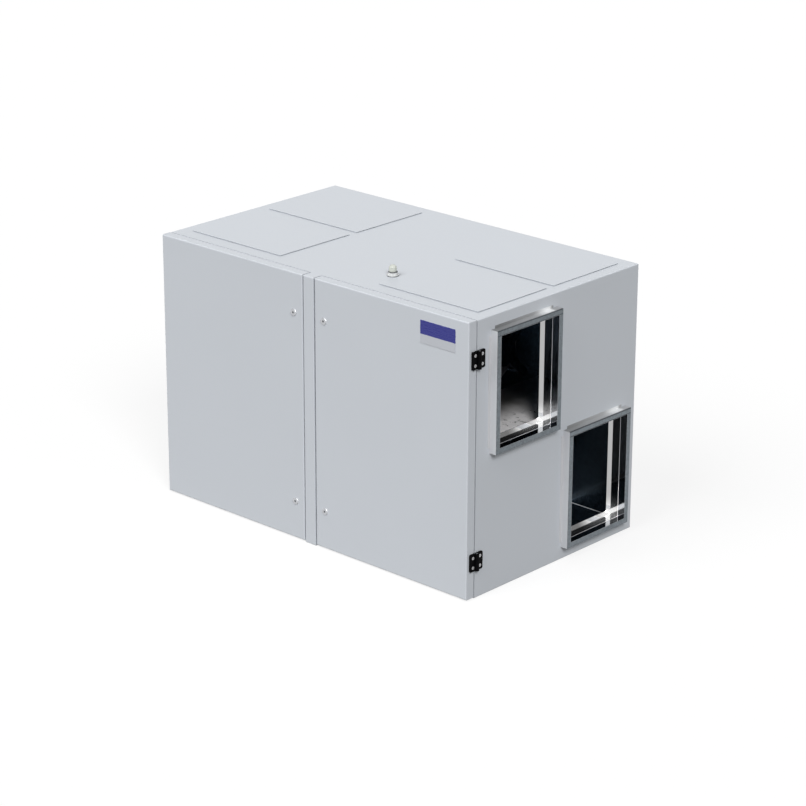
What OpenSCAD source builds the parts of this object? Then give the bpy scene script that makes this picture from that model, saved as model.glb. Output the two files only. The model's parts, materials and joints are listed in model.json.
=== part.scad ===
// Floor-standing air handling unit: an insulated casing of mitred sandwich panels with two hinged
// service doors, quarter-turn locks, flanged duct connections on both ends and blanked ones on the roof.
// The origin is on the floor under the middle of the casing. X runs along the length, the doors
// face -Y and Z is up. All sizes are in millimetres.

/* [Casing] */
// Length over the end panels
casing_l = 1500; // [1450:10:1800]
// Depth from the faces of the doors to the back
casing_d = 910; // [880:10:1100]
// Height from the floor to the roof
casing_h = 1015; // [1005:5:1200]
// Thickness of an insulated panel
panel_t = 45; // [40:1:50]
// Radius of the folded outer edges
fold_r = 4; // [2:0.5:6]
// Thickness of the inner liner sheet
liner_t = 1; // [0.8:0.1:2]

/* [Doors] */
// Thickness of a door
door_t = 38; // [36:1:50]
// Gap round a door, to the casing, the post and the floor
door_gap = 5; // [4:0.5:7]
// Width of the centre post between the doors
post_w = 50; // [40:1:70]
// Width of the flange behind the post that both doors close on
post_flange_w = 114; // [108:1:120]
// Thickness of that flange
post_flange_t = 20; // [15:1:25]
// Distance from a door's edge to its seal
seal_inset = 10; // [8:1:12]
// Width of a door seal
seal_w = 12; // [10:1:14]
// Gap between a seal and its closed door
seal_fit = 0.3; // [0.2:0.1:0.6]

/* [Hinges] */
// Height and width of a hinge
hinge_size = 65; // [60:1:80]
// Height of a hinge's middle above the floor and below the roof
hinge_inset = 139; // [110:1:180]
// Distance of a hinge's axis behind the middle of the gap between door and casing
hinge_back = 5; // [0:0.5:5]
// Thickness of a hinge leaf
leaf_t = 6; // [5:0.5:6.5]
// Radius of a corner of a leaf
leaf_corner_r = 5; // [3:0.5:8]
// Radius of a hinge knuckle
knuckle_r = 8; // [6:0.1:9]
// Height of the middle knuckle, which is on the door
mid_knuckle_h = 24; // [20:1:28]
// Gap between a knuckle and the door or casing beside it, and between knuckles
knuckle_gap = 0.5; // [0.3:0.1:0.8]
// Gap round a knuckle in the other leaf
knuckle_fit = 1.5; // [1:0.1:2]
// Diameter of a hinge pin
pin_d = 5; // [4:0.5:6]
// Radial clearance of a pin in its knuckles
pin_fit = 0.05; // [0.02:0.01:0.1]
// Spacing of a hinge's screws, each way
hinge_screw_pitch = 36; // [32:1:40]
// Diameter of the recess for a hinge screw's head
hinge_screw_d = 12; // [8:0.5:12]
// Depth of that recess
hinge_screw_deep = 2; // [1:0.5:3]

/* [Locks] */
// Height of a lock above the floor and below the roof
lock_inset = 148; // [120:1:200]
// Distance from the edge of the post's flange to a door's locks
lock_edge = 17; // [16:1:33]
// Diameter of a lock's barrel
barrel_d = 22; // [20:1:24]
// Diameter of a lock's bezel
bezel_d = 28; // [26:1:34]
// How far the bezel stands proud of the door
bezel_t = 3; // [2:0.5:5]
// Diameter of the plug that the key turns
plug_d = 14; // [12:0.5:16]
// Radial clearance of the plug in the barrel
plug_fit = 0.05; // [0.02:0.01:0.1]
// Size of the square key socket in the plug
key_size = 7; // [6:0.5:8]
// Depth of the key socket
key_deep = 8; // [6:1:12]
// Reach of the cam from the lock's axis to its tip
cam_l = 42; // [36:1:48]
// Width of the cam
cam_w = 18; // [14:1:20]
// Thickness of the cam
cam_t = 3; // [2:0.5:4]
// Gap between the cam and the flange or barrel in front of it
cam_fit = 1; // [0.5:0.1:2]
// Height of the nut behind the cam
cam_nut_h = 5; // [4:0.5:7]

/* [Duct connections] */
// Width of a duct connection's opening
duct_w = 305; // [250:5:310]
// Height of a duct connection's opening
duct_h = 405; // [300:5:410]
// Width of a duct flange's face
flange_w = 20; // [18:1:25]
// How far a duct flange stands out from the end panel
flange_out = 30; // [25:1:40]
// How far a duct flange's level rails run past its upright ones
rail_over = 0; // [0:0.5:10]
// Thickness of a duct flange's sheet
flange_t = 1.5; // [1:0.1:2]
// Width of the foot that fixes a duct flange to the panel
flange_foot = 10; // [6:1:14]
// Thickness of the trim sheet that lines an opening
trim_t = 1.5; // [1:0.1:2]
// How far the trim's sloping lip reaches into the panel from the liner
trim_over = 11; // [8:1:20]
// How far the lip stands in across the opening
trim_in = 12; // [8:1:16]
// Gap from the base panel to the lower opening
duct_floor_gap = 23; // [18:1:30]
// Gap from the roof panel to the upper opening
duct_roof_gap = 26; // [24:1:34]
// Gap from the back panel to the lower opening
duct_back_gap = 30; // [20:1:60]
// Gap from the casing's front edge to the upper opening
duct_front_gap = 89; // [80:1:100]

/* [Roof] */
// Length of a roof cover plate
cover_l = 458; // [380:1:460]
// Width of a roof cover plate
cover_w = 360; // [300:1:365]
// Thickness of a roof cover plate
cover_t = 1.5; // [1:0.1:3]
// Corner radius of a roof cover plate
cover_r = 3; // [1:0.5:10]
// Gap from the end of the casing to a cover
cover_end_gap = 51; // [40:1:80]
// Gap between the front and the back covers
cover_mid_gap = 36; // [20:1:80]
// Front margin of the field that the covers are centred in
cover_front_gap = 60; // [40:1:60]
// Back margin of that field
cover_back_gap = 50; // [40:1:60]
// Thickness of the gasket under a cover
gasket_t = 2; // [1:0.5:4]
// Width of that gasket
gasket_w = 12; // [8:1:20]
// Distance from a cover's edge to its gasket
gasket_inset = 5; // [3:0.5:10]

/* [Cable gland] */
// Distance of the cable gland from the edge of the roof cover beside it
gland_x = 32; // [30:1:84]
// Distance of the cable gland from the casing's front edge
gland_y = 167; // [80:1:300]
// Diameter of the gland's flange
gland_flange_d = 42; // [36:1:50]
// Thickness of the gland's flange
gland_flange_t = 6; // [4:0.5:8]
// Width of the gland's hexagon across its corners
gland_hex_d = 36; // [30:1:40]
// Height of the gland's hexagon
gland_hex_h = 10; // [8:1:14]
// Diameter of the gland's cap
gland_cap_d = 28; // [24:1:32]
// Height of the gland's cap up to its dome
gland_cap_h = 16; // [10:1:20]
// Rise of the dome on the gland's cap
gland_dome_h = 9; // [6:0.5:12]
// Number of grip flutes round the cap
gland_flutes = 12; // [6:1:18]
// Diameter of a grip flute
gland_flute_d = 4; // [3:0.5:4.5]

/* [Nameplate] */
// Width of the blank nameplate
nameplate_w = 158; // [100:1:200]
// Height of the blank nameplate
nameplate_h = 82; // [50:1:120]
// Thickness of the nameplate
nameplate_t = 1.5; // [0.8:0.1:3]
// Distance from the nameplate to the door's hinge edge
nameplate_side = 60; // [30:1:120]
// Distance from the nameplate to the door's top
nameplate_drop = 37; // [20:1:100]

/* [Inside] */
// Distance of the inner pieces behind the casing's front edge
inside_setback = 2; // [1:0.5:5]
// Thickness of the deck between the upper and lower chambers
deck_t = 25; // [20:1:25]
// Length of the heat exchanger between the decks
exchanger_l = 660; // [560:10:680]
// Length of the heat exchanger's level top and bottom
exchanger_flat = 300; // [200:10:400]
// Height of the heat exchanger
exchanger_h = 460; // [400:10:520]
// Thickness of the heat exchanger's cover plates
exchanger_plate_t = 3; // [2:0.5:5]
// Reveal of the core inside the edge of its cover plates
exchanger_reveal = 6; // [4:0.5:10]
// Thickness of a partition or fan wall sheet
sheet_t = 2; // [1.5:0.1:3]
// Thickness of a filter cassette
filter_t = 46; // [40:1:60]
// Distance from an end panel's inside to its filter
filter_setback = 211; // [180:1:240]
// Width of a filter cassette's frame
filter_rim = 18; // [12:1:25]
// Number of pleats in a filter
filter_pleats = 28; // [16:1:36]
// Thickness of the pleated medium
filter_media_t = 4; // [3:0.5:6]
// Gap round a filter cassette in its chamber
filter_fit = 0.3; // [0.2:0.1:1]
// Distance from the exchanger's end to a fan wall
fan_wall_gap = 30; // [20:1:60]
// Diameter of a fan wheel
fan_d = 260; // [220:5:270]
// Diameter of the fan's inlet
fan_inlet_d = 140; // [120:5:148]
// Width of the fan wheel between its plates
fan_w = 74; // [60:1:90]
// Thickness of a fan wheel's plates and blades
fan_plate_t = 2.5; // [2:0.5:4]
// Number of fan blades
fan_blades = 7; // [5:1:11]
// Distance of a blade's tip inside the wheel's rim
fan_tip_inset = 3; // [1:0.5:6]
// Radius of curvature of a fan blade
fan_blade_r = 92; // [80:1:120]
// Radius of the inlet's bell mouth
bell_r = 22; // [16:1:28]
// Running gap between the inlet and the fan wheel
fan_run_gap = 3; // [2:0.5:5]
// Diameter of the fan motor
motor_d = 104; // [80:1:120]
// Length of the fan motor behind the wheel
motor_l = 58; // [40:1:80]
// Diameter of a rod that carries the motor plate
fan_rod_d = 12; // [8:1:16]
// Gap between the fan wheel and those rods
fan_rod_gap = 12; // [8:1:18]
// Width of an arm of the motor plate
motor_arm_w = 34; // [24:1:44]
// Thickness of the motor plate
motor_plate_t = 4; // [3:0.5:6]

/* [Hidden] */
$fn = 64;
// Overlap that carries a cut through a face
cut = 1;
hexagon_sides = 6;

// Levels and planes of the casing
half_l = casing_l / 2;
door_y = -casing_d / 2;
back_y = casing_d / 2;
front_y = door_y + door_t + door_gap;
body_d = back_y - front_y;
inner_x = half_l - panel_t;
inner_back_y = back_y - panel_t;
liner_x = inner_x - liner_t;
liner_back_y = inner_back_y - liner_t;
liner_floor_z = panel_t + liner_t;
liner_roof_z = casing_h - liner_floor_z;
mid_z = casing_h / 2;
deck_top_z = mid_z + deck_t / 2;
deck_low_z = mid_z - deck_t / 2;
post_back_y = front_y + post_flange_t;

// Outline of a door, from its free edge to its hinge edge
door_x = post_w / 2 + door_gap;
door_w = half_l - door_x;
door_h = casing_h - door_gap;
door_back_y = door_y + door_t;
seal_t = door_gap - seal_fit;

// Hinge axis, behind the middle of the seam and clear of the side faces
hinge_x = half_l + knuckle_r + knuckle_gap;
hinge_y = (door_back_y + front_y) / 2 + hinge_back;
hinge_levels = [hinge_inset, casing_h - hinge_inset];
outer_knuckle_h = (hinge_size - mid_knuckle_h) / 2 - knuckle_gap;

// Locks
lock_x = post_flange_w / 2 + lock_edge;
lock_levels = [lock_inset, casing_h - lock_inset];
bezel_y = door_y - bezel_t;
cam_y = post_back_y + cam_fit;

// Duct openings: [middle along Y, middle along Z] of the upper and the lower one
upper_duct = [front_y + duct_front_gap + duct_w / 2, casing_h - panel_t - duct_roof_gap - duct_h / 2];
lower_duct = [inner_back_y - duct_back_gap - duct_w / 2, panel_t + duct_floor_gap + duct_h / 2];
ducts = [upper_duct, lower_duct];

// Roof
cover_mid_y = (front_y + cover_front_gap + back_y - cover_back_gap) / 2;
front_cover_y = cover_mid_y - cover_mid_gap / 2 - cover_w;
back_cover_y = cover_mid_y + cover_mid_gap / 2;
cover_x = half_l - cover_end_gap - cover_l;

// Inside
inside_y = front_y + inside_setback;
exchanger_half = exchanger_l / 2;
fan_wall_x = exchanger_half + fan_wall_gap;
fan_y = (inside_y + liner_back_y) / 2;
fan_z = (deck_top_z + liner_roof_z) / 2;
fan_rod_at = (fan_d / 2 + fan_rod_gap + fan_rod_d / 2) / sqrt(2);
fan_wheel_l = fan_w + 2 * fan_plate_t;
motor_seat = bell_r + fan_run_gap + fan_wheel_l + motor_l;
filter_x = inner_x - filter_setback - filter_t;
filter_h = deck_low_z - liner_floor_z - filter_fit;
filter_d = liner_back_y - inside_y - filter_fit;

// A box between two opposite corners
module span(low, high) {
    translate(low) cube(high - low);
}

// Mirrors its children to the left half
module on_left() {
    mirror([1, 0, 0]) children();
}

// Turns its children half way round the unit's middle, so right upper becomes left lower
module half_turned() {
    translate([0, 0, casing_h]) rotate([0, 180, 0]) children();
}

// A flat outline with four round corners, from its low corner
module round_outline(size, r) {
    translate([r, 0]) square([size.x - 2 * r, size.y]);
    translate([0, r]) square([size.x, size.y - 2 * r]);
    for (x = [r, size.x - r], y = [r, size.y - r])
        translate([x, y]) circle(r);
}

// A flat outline with round corners at its low edge only
module front_round_outline(size, r) {
    translate([r, 0]) square([size.x - 2 * r, size.y]);
    translate([0, r]) square([size.x, size.y - r]);
    for (x = [r, size.x - r])
        translate([x, r]) circle(r);
}

// A bar with round ends, from the middle of one end to the middle of the other
module round_ended_bar(l, w) {
    translate([0, -w / 2]) square([l, w]);
    for (x = [0, l])
        translate([x, 0]) circle(d = w);
}

// Carries an outline drawn in X and Z along Y, from y0 to y1
module along_y(y0, y1) {
    translate([0, y1, 0]) rotate([90, 0, 0]) linear_extrude(y1 - y0) children();
}

// Carries an outline drawn in Y and Z along X, from x0 to x1
module along_x(x0, x1) {
    translate([x0, 0, 0]) rotate([90, 0, 90]) linear_extrude(x1 - x0) children();
}

// One side of the casing's ring of panels: the outline between two mitres
module mitred_panel(corners) {
    along_y(front_y, back_y)
        intersection() {
            polygon(corners);
            translate([-half_l, 0]) round_outline([casing_l, casing_h], fold_r);
        }
}

module base_panel() {
    color("gainsboro")
        mitred_panel([[-half_l, 0], [half_l, 0], [inner_x, panel_t], [-inner_x, panel_t]]);
}

module roof_panel() {
    color("gainsboro")
        mitred_panel([
            [-half_l, casing_h], [-inner_x, casing_h - panel_t],
            [inner_x, casing_h - panel_t], [half_l, casing_h]
        ]);
}

module back_panel() {
    color("gainsboro")
        span([-inner_x, inner_back_y, panel_t], [inner_x, back_y, casing_h - panel_t]);
}

// A box as large as an opening plus a margin, through the end of the casing
module duct_hole(duct, margin) {
    size = [casing_l, duct_w + 2 * margin, duct_h + 2 * margin];
    translate([half_l, duct[0], duct[1]]) cube(size, center = true);
}

module end_panel() {
    color("gainsboro")
        difference() {
            mitred_panel([
                [half_l, 0], [half_l, casing_h], [inner_x, casing_h - panel_t], [inner_x, panel_t]
            ]);
            for (duct = ducts) duct_hole(duct, trim_t);
        }
}

// The five sheets inside the panels, open towards the doors
module inner_liner() {
    color("silver")
        difference() {
            span([-inner_x, front_y, panel_t], [inner_x, inner_back_y, casing_h - panel_t]);
            span([-liner_x, front_y - cut, liner_floor_z], [liner_x, liner_back_y, liner_roof_z]);
            for (duct = ducts) {
                duct_hole(duct, -trim_in);
                on_left() duct_hole(duct, -trim_in);
            }
        }
}

// The post between the doors and the flange behind it
module centre_post() {
    color("gainsboro") {
        intersection() {
            translate([-post_w / 2, door_y, 0])
                linear_extrude(casing_h) front_round_outline([post_w, front_y - door_y], fold_r / 2);
            along_x(-post_w / 2, post_w / 2)
                translate([door_y, 0]) round_outline([casing_d, casing_h], fold_r);
        }
        span([-post_flange_w / 2, front_y, liner_floor_z], [post_flange_w / 2, post_back_y, liner_roof_z]);
    }
}

// The outline of the right door moved in by a margin
module door_outline(margin) {
    translate([door_x + margin, door_gap + margin]) square([door_w - 2 * margin, door_h - 2 * margin]);
}

module door_seal() {
    along_y(front_y - seal_t, front_y)
        difference() {
            door_outline(seal_inset);
            door_outline(seal_inset + seal_w);
        }
}

module door_seals() {
    color("dimgray") {
        door_seal();
        on_left() door_seal();
    }
}

// A duct flange of folded rails, hollow towards the panel, with a foot along each side.
// The level rails have closed ends and can run past the upright ones.
module duct_flange(duct) {
    out = [duct_w + 2 * flange_w, duct_h + 2 * flange_w];
    rail_l = out.x + 2 * rail_over;
    rail_hollow = flange_w - 2 * flange_t;
    rail_y = (duct_w + flange_w) / 2;
    rail_z = (duct_h + flange_w) / 2;
    translate([half_l, duct[0], duct[1]])
        difference() {
            union() {
                along_x(0, flange_out) {
                    square(out, center = true);
                    for (side = [-1, 1])
                        translate([0, side * rail_z]) square([rail_l, flange_w], center = true);
                }
                along_x(0, flange_t) {
                    square([out.x + 2 * flange_foot, duct_h], center = true);
                    square([duct_w, out.y + 2 * flange_foot], center = true);
                }
            }
            along_x(-cut, flange_out - flange_t)
                for (side = [-1, 1]) {
                    translate([side * rail_y, 0]) square([rail_hollow, duct_h], center = true);
                    translate([0, side * rail_z]) square([rail_l - 2 * flange_t, rail_hollow], center = true);
                }
            along_x(-cut, flange_out + cut) square([duct_w, duct_h], center = true);
        }
}

// A block along X whose height and width change evenly from one end to the other
module tapered_block(x0, size0, x1, size1) {
    wide = max(size0.x, size1.x);
    high = max(size0.y, size1.y);
    intersection() {
        translate([0, 0, -high / 2])
            linear_extrude(high)
                polygon([[x0, -size0.x / 2], [x1, -size1.x / 2], [x1, size1.x / 2], [x0, size0.x / 2]]);
        along_y(-wide / 2, wide / 2)
            polygon([[x0, -size0.y / 2], [x1, -size1.y / 2], [x1, size1.y / 2], [x0, size0.y / 2]]);
    }
}

// The sheet that lines an opening through the panel, with a lip that slopes in to the liner
module opening_trim(duct) {
    open = [duct_w, duct_h];
    wall = [2 * trim_t, 2 * trim_t];
    lip = [2 * trim_in, 2 * trim_in];
    spare = lip * cut / trim_over;
    fold_x = inner_x + trim_over;
    translate([0, duct[0], duct[1]]) {
        along_x(fold_x, half_l)
            difference() {
                square(open + wall, center = true);
                square(open, center = true);
            }
        difference() {
            tapered_block(inner_x, open + wall - lip, fold_x, open + wall);
            tapered_block(inner_x - cut, open - lip - spare, fold_x + cut, open + spare);
        }
    }
}

module opening_trims() {
    color("whitesmoke")
        for (duct = ducts) opening_trim(duct);
}

module roof_cover(y) {
    color("gainsboro")
        translate([cover_x, y, casing_h + gasket_t])
            linear_extrude(cover_t) round_outline([cover_l, cover_w], cover_r);
}

module roof_cover_gasket(y) {
    outer = [cover_l - 2 * gasket_inset, cover_w - 2 * gasket_inset];
    translate([cover_x + gasket_inset, y + gasket_inset, casing_h])
        linear_extrude(gasket_t)
            difference() {
                square(outer);
                translate([gasket_w, gasket_w]) square([outer.x - 2 * gasket_w, outer.y - 2 * gasket_w]);
            }
}

module roof_cover_gaskets() {
    color("dimgray")
        for (y = [front_cover_y, back_cover_y]) {
            roof_cover_gasket(y);
            on_left() roof_cover_gasket(y);
        }
}

module at_gland(z) {
    translate([cover_x - gland_x, front_y + gland_y, casing_h + z]) children();
}

module cable_gland_body() {
    color("lightgray")
        at_gland(0) {
            cylinder(d = gland_flange_d, h = gland_flange_t);
            cylinder(d = gland_hex_d, h = gland_flange_t + gland_hex_h, $fn = hexagon_sides);
        }
}

// A fluted cap with a domed top
module cable_gland_cap() {
    dome_r = (pow(gland_cap_d / 2, 2) + pow(gland_dome_h, 2)) / (2 * gland_dome_h);
    color("ivory")
        at_gland(gland_flange_t + gland_hex_h)
            difference() {
                intersection() {
                    cylinder(d = gland_cap_d, h = gland_cap_h + gland_dome_h);
                    translate([0, 0, gland_cap_h + gland_dome_h - dome_r]) sphere(dome_r);
                }
                for (i = [0 : gland_flutes - 1])
                    rotate(i * 360 / gland_flutes)
                        translate([gland_cap_d / 2 + gland_flute_d / 4, 0, -cut])
                            cylinder(d = gland_flute_d, h = gland_cap_h + cut);
            }
}

// Places its children on the right hinge axis at each hinge's level
module at_hinges() {
    for (z = hinge_levels)
        translate([hinge_x, hinge_y, z]) children();
}

// A leaf on one side of the hinge axis: side is 1 on the casing and -1 on the door.
// The door's leaf ends at the middle of the gap, so that it never rests on the casing.
module leaf_plate(side) {
    low_x = half_l - hinge_x;
    half = hinge_size / 2;
    screw_at = hinge_screw_pitch / 2;
    leaf_w = side > 0 ? half : half - hinge_back;
    difference() {
        along_x(low_x, low_x + leaf_t)
            intersection() {
                translate([-half, -half]) round_outline([hinge_size, hinge_size], leaf_corner_r);
                translate([side > 0 ? 0 : -half, -half]) square([leaf_w, hinge_size]);
            }
        for (z = [-1, 1])
            translate([low_x + leaf_t - hinge_screw_deep, side * screw_at, z * screw_at])
                rotate([0, 90, 0]) cylinder(d = hinge_screw_d, h = hinge_screw_deep + cut);
    }
}

// A round bar on the hinge axis, from z0 to z1
module on_axis(r, z0, z1) {
    translate([0, 0, z0]) cylinder(r = r, h = z1 - z0);
}

module casing_hinge_leaves() {
    half = hinge_size / 2;
    mid = mid_knuckle_h / 2 + knuckle_gap;
    color("black")
        at_hinges()
            difference() {
                union() {
                    leaf_plate(1);
                    for (side = [0, 1])
                        mirror([0, 0, side]) on_axis(knuckle_r, mid, half);
                }
                on_axis(knuckle_r + knuckle_fit, -mid, mid);
                on_axis(pin_d / 2 + pin_fit, -half - cut, half + cut);
            }
}

module door_hinge_leaves() {
    half = hinge_size / 2;
    mid = mid_knuckle_h / 2;
    color("black")
        at_hinges()
            difference() {
                union() {
                    difference() {
                        leaf_plate(-1);
                        for (side = [0, 1])
                            mirror([0, 0, side]) on_axis(knuckle_r + knuckle_fit, mid, half + cut);
                    }
                    on_axis(knuckle_r, -mid, mid);
                }
                on_axis(pin_d / 2 + pin_fit, -half - cut, half + cut);
            }
}

module hinge_pins() {
    color("silver")
        at_hinges() on_axis(pin_d / 2, -hinge_size / 2, hinge_size / 2);
}

module deck() {
    color("silver")
        span([exchanger_half, inside_y, deck_low_z], [liner_x, liner_back_y, deck_top_z]);
}

// The eight-sided outline of the heat exchanger, moved in by a margin
module exchanger_outline(margin) {
    x = exchanger_half - margin;
    flat = exchanger_flat / 2 - margin / 2;
    high = exchanger_h / 2 - margin;
    low = deck_t / 2;
    translate([0, mid_z])
        polygon([
            [x, low], [flat, high], [-flat, high], [-x, low],
            [-x, -low], [-flat, -high], [flat, -high], [x, -low]
        ]);
}

module exchanger_core() {
    color("lightsteelblue")
        along_y(post_back_y + exchanger_plate_t, liner_back_y - exchanger_plate_t)
            exchanger_outline(exchanger_reveal);
}

module exchanger_cover_plates() {
    color("silver") {
        along_y(post_back_y, post_back_y + exchanger_plate_t) exchanger_outline(0);
        along_y(liner_back_y - exchanger_plate_t, liner_back_y) exchanger_outline(0);
    }
}

// The upright sheets that part the left and right chambers over and under the exchanger
module partition_sheets() {
    half_t = sheet_t / 2;
    half_h = exchanger_h / 2;
    color("silver") {
        span([-half_t, post_back_y, mid_z + half_h], [half_t, liner_back_y, liner_roof_z]);
        span([-half_t, post_back_y, liner_floor_z], [half_t, liner_back_y, mid_z - half_h]);
    }
}

// A pleated medium in its frame, on the floor of the right lower chamber
module filter_cassette() {
    inner_d = filter_d - 2 * filter_rim;
    inner_h = filter_h - 2 * filter_rim;
    pitch = inner_d / filter_pleats;
    deep = filter_t - filter_media_t;
    ridge = [for (i = [0 : 2 * filter_pleats]) [i % 2 == 0 ? 0 : deep, i * pitch / 2]];
    ridge_back = [for (i = [2 * filter_pleats : -1 : 0]) ridge[i] + [filter_media_t, 0]];
    translate([filter_x, inside_y, liner_floor_z]) {
        color("white")
            difference() {
                cube([filter_t, filter_d, filter_h]);
                translate([-cut, filter_rim, filter_rim]) cube([filter_t + 2 * cut, inner_d, inner_h]);
            }
        color("gainsboro")
            translate([0, filter_rim, filter_rim])
                linear_extrude(inner_h) polygon(concat(ridge, ridge_back));
    }
}

// Places its children on the right fan's axis, where local Z runs along the air flow
module at_fan() {
    translate([fan_wall_x, fan_y, fan_z]) rotate([0, 90, 0]) children();
}

// The wall with the fan's bell mouth, and the rods and arms that carry the motor
module fan_wall() {
    mouth_r = fan_inlet_d / 2 + bell_r;
    color("silver") {
        difference() {
            span([fan_wall_x, inside_y, deck_top_z], [fan_wall_x + sheet_t, liner_back_y, liner_roof_z]);
            at_fan() translate([0, 0, -cut]) cylinder(r = mouth_r - sheet_t, h = sheet_t + 2 * cut);
        }
        at_fan() {
            rotate_extrude()
                intersection() {
                    translate([mouth_r, bell_r])
                        difference() {
                            circle(bell_r);
                            circle(bell_r - sheet_t);
                        }
                    square([mouth_r, bell_r]);
                }
            for (x = [-1, 1], y = [-1, 1])
                translate([x * fan_rod_at, y * fan_rod_at, 0]) cylinder(d = fan_rod_d, h = motor_seat);
            translate([0, 0, motor_seat])
                linear_extrude(motor_plate_t) {
                    for (turn = [45 : 90 : 315])
                        rotate(turn) round_ended_bar(sqrt(2) * fan_rod_at, motor_arm_w);
                    circle(d = motor_d);
                }
        }
    }
}

// The outline of a backward-curved blade between the inlet and the rim
module blade_outline() {
    intersection() {
        difference() {
            circle(fan_d / 2 - fan_tip_inset);
            circle(fan_inlet_d / 2 + 2 * fan_run_gap);
        }
        translate([fan_inlet_d / 2, fan_blade_r])
            difference() {
                circle(fan_blade_r);
                circle(fan_blade_r - fan_plate_t);
            }
        square(fan_d / 2);
    }
}

// A fan wheel with its motor, seated on the motor plate
module fan() {
    color("dimgray")
        at_fan() {
            translate([0, 0, bell_r + fan_run_gap]) {
                linear_extrude(fan_plate_t)
                    difference() {
                        circle(d = fan_d);
                        circle(d = fan_inlet_d + 2 * fan_run_gap);
                    }
                for (i = [0 : fan_blades - 1])
                    rotate(i * 360 / fan_blades)
                        translate([0, 0, fan_plate_t / 2])
                            linear_extrude(fan_w + fan_plate_t) blade_outline();
                translate([0, 0, fan_w + fan_plate_t]) cylinder(d = fan_d, h = fan_plate_t);
                translate([0, 0, fan_wheel_l]) cylinder(d = motor_d, h = motor_l);
            }
        }
}

// A right door with folded front edges and a hole for each lock
module door_panel() {
    color("lightgray")
        difference() {
            intersection() {
                translate([door_x, door_y, 0])
                    linear_extrude(casing_h) front_round_outline([door_w, door_t], fold_r);
                along_x(door_x, half_l)
                    translate([door_y, door_gap]) round_outline([casing_d, door_h], fold_r);
            }
            lock_holes();
        }
}

// Holes for the barrels of a right door's locks
module lock_holes() {
    for (z = lock_levels)
        translate([lock_x, door_y - cut, z])
            rotate([-90, 0, 0]) cylinder(d = barrel_d, h = casing_d / 2);
}

module door_liner() {
    margin = seal_inset + seal_w + door_gap;
    color("silver")
        difference() {
            along_y(door_back_y, door_back_y + liner_t) door_outline(margin);
            lock_holes();
        }
}

// A lock's barrel through the door, with a bevelled bezel and a bore for the plug
module lock_barrel(z) {
    barrel_l = cam_y - cam_fit - bezel_y;
    translate([lock_x, bezel_y, z])
        rotate([-90, 0, 0])
            difference() {
                union() {
                    cylinder(d1 = bezel_d - bezel_t, d2 = bezel_d, h = bezel_t);
                    cylinder(d = barrel_d, h = barrel_l);
                }
                translate([0, 0, -cut]) cylinder(r = plug_d / 2 + plug_fit, h = barrel_l + 2 * cut);
            }
}

module lock_barrels() {
    color("silver")
        for (z = lock_levels) lock_barrel(z);
}

// A lock's plug with its key socket, and its cam hanging down behind the door
module lock_plug(z) {
    plug_l = cam_y + cam_t + cam_nut_h - bezel_y;
    color("silver")
        translate([lock_x, 0, z]) {
            translate([0, bezel_y, 0])
                rotate([-90, 0, 0])
                    difference() {
                        cylinder(d = plug_d, h = plug_l);
                        translate([-key_size / 2, -key_size / 2, -cut])
                            cube([key_size, key_size, key_deep + cut]);
                    }
            along_y(cam_y, cam_y + cam_t)
                rotate(-90) round_ended_bar(cam_l - cam_w / 2, cam_w);
        }
}

module nameplate() {
    right = half_l - nameplate_side;
    top = casing_h - nameplate_drop;
    color("darkslateblue")
        span([right - nameplate_w, door_y - nameplate_t, top - nameplate_h], [right, door_y, top]);
}

base_panel();
roof_panel();
back_panel();
on_left() end_panel();  // left_end_panel
end_panel();  // right_end_panel
inner_liner();
centre_post();
door_seals();
color("darkgray") duct_flange(upper_duct);  // right_upper_duct_flange
color("darkgray") duct_flange(lower_duct);  // right_lower_duct_flange
color("darkgray") on_left() duct_flange(upper_duct);  // left_upper_duct_flange
color("darkgray") on_left() duct_flange(lower_duct);  // left_lower_duct_flange
opening_trims();  // right_opening_trims
on_left() opening_trims();  // left_opening_trims
roof_cover(front_cover_y);  // right_front_roof_cover
roof_cover(back_cover_y);  // right_back_roof_cover
on_left() roof_cover(front_cover_y);  // left_front_roof_cover
on_left() roof_cover(back_cover_y);  // left_back_roof_cover
roof_cover_gaskets();
cable_gland_body();
cable_gland_cap();
casing_hinge_leaves();  // right_casing_hinge_leaves
on_left() casing_hinge_leaves();  // left_casing_hinge_leaves
hinge_pins();  // right_hinge_pins
on_left() hinge_pins();  // left_hinge_pins
deck();  // right_deck
on_left() deck();  // left_deck
exchanger_core();
exchanger_cover_plates();
partition_sheets();
filter_cassette();  // right_filter
half_turned() filter_cassette();  // left_filter
fan_wall();  // right_fan_wall
half_turned() fan_wall();  // left_fan_wall
fan();  // right_fan
half_turned() fan();  // left_fan
door_panel();  // right_door_panel
door_liner();  // right_door_liner
door_hinge_leaves();  // right_door_hinge_leaves
lock_barrels();  // right_lock_barrels
nameplate();
on_left() door_panel();  // left_door_panel
on_left() door_liner();  // left_door_liner
on_left() door_hinge_leaves();  // left_door_hinge_leaves
on_left() lock_barrels();  // left_lock_barrels
lock_plug(lock_levels[1]);  // right_upper_lock_plug
lock_plug(lock_levels[0]);  // right_lower_lock_plug
on_left() lock_plug(lock_levels[1]);  // left_upper_lock_plug
on_left() lock_plug(lock_levels[0]);  // left_lower_lock_plug
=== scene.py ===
"""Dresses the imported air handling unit: finishes, fasteners, exchanger plates, studio light and camera.

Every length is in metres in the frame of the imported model: X along the unit, the doors face -Y, Z is up.
"""

import json
import logging
import math
from dataclasses import dataclass, field
from enum import Enum
from functools import cache
from typing import Dict, Iterable, List, Optional, Sequence, Tuple, Union

import bpy
from mathutils import Matrix, Vector


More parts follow.
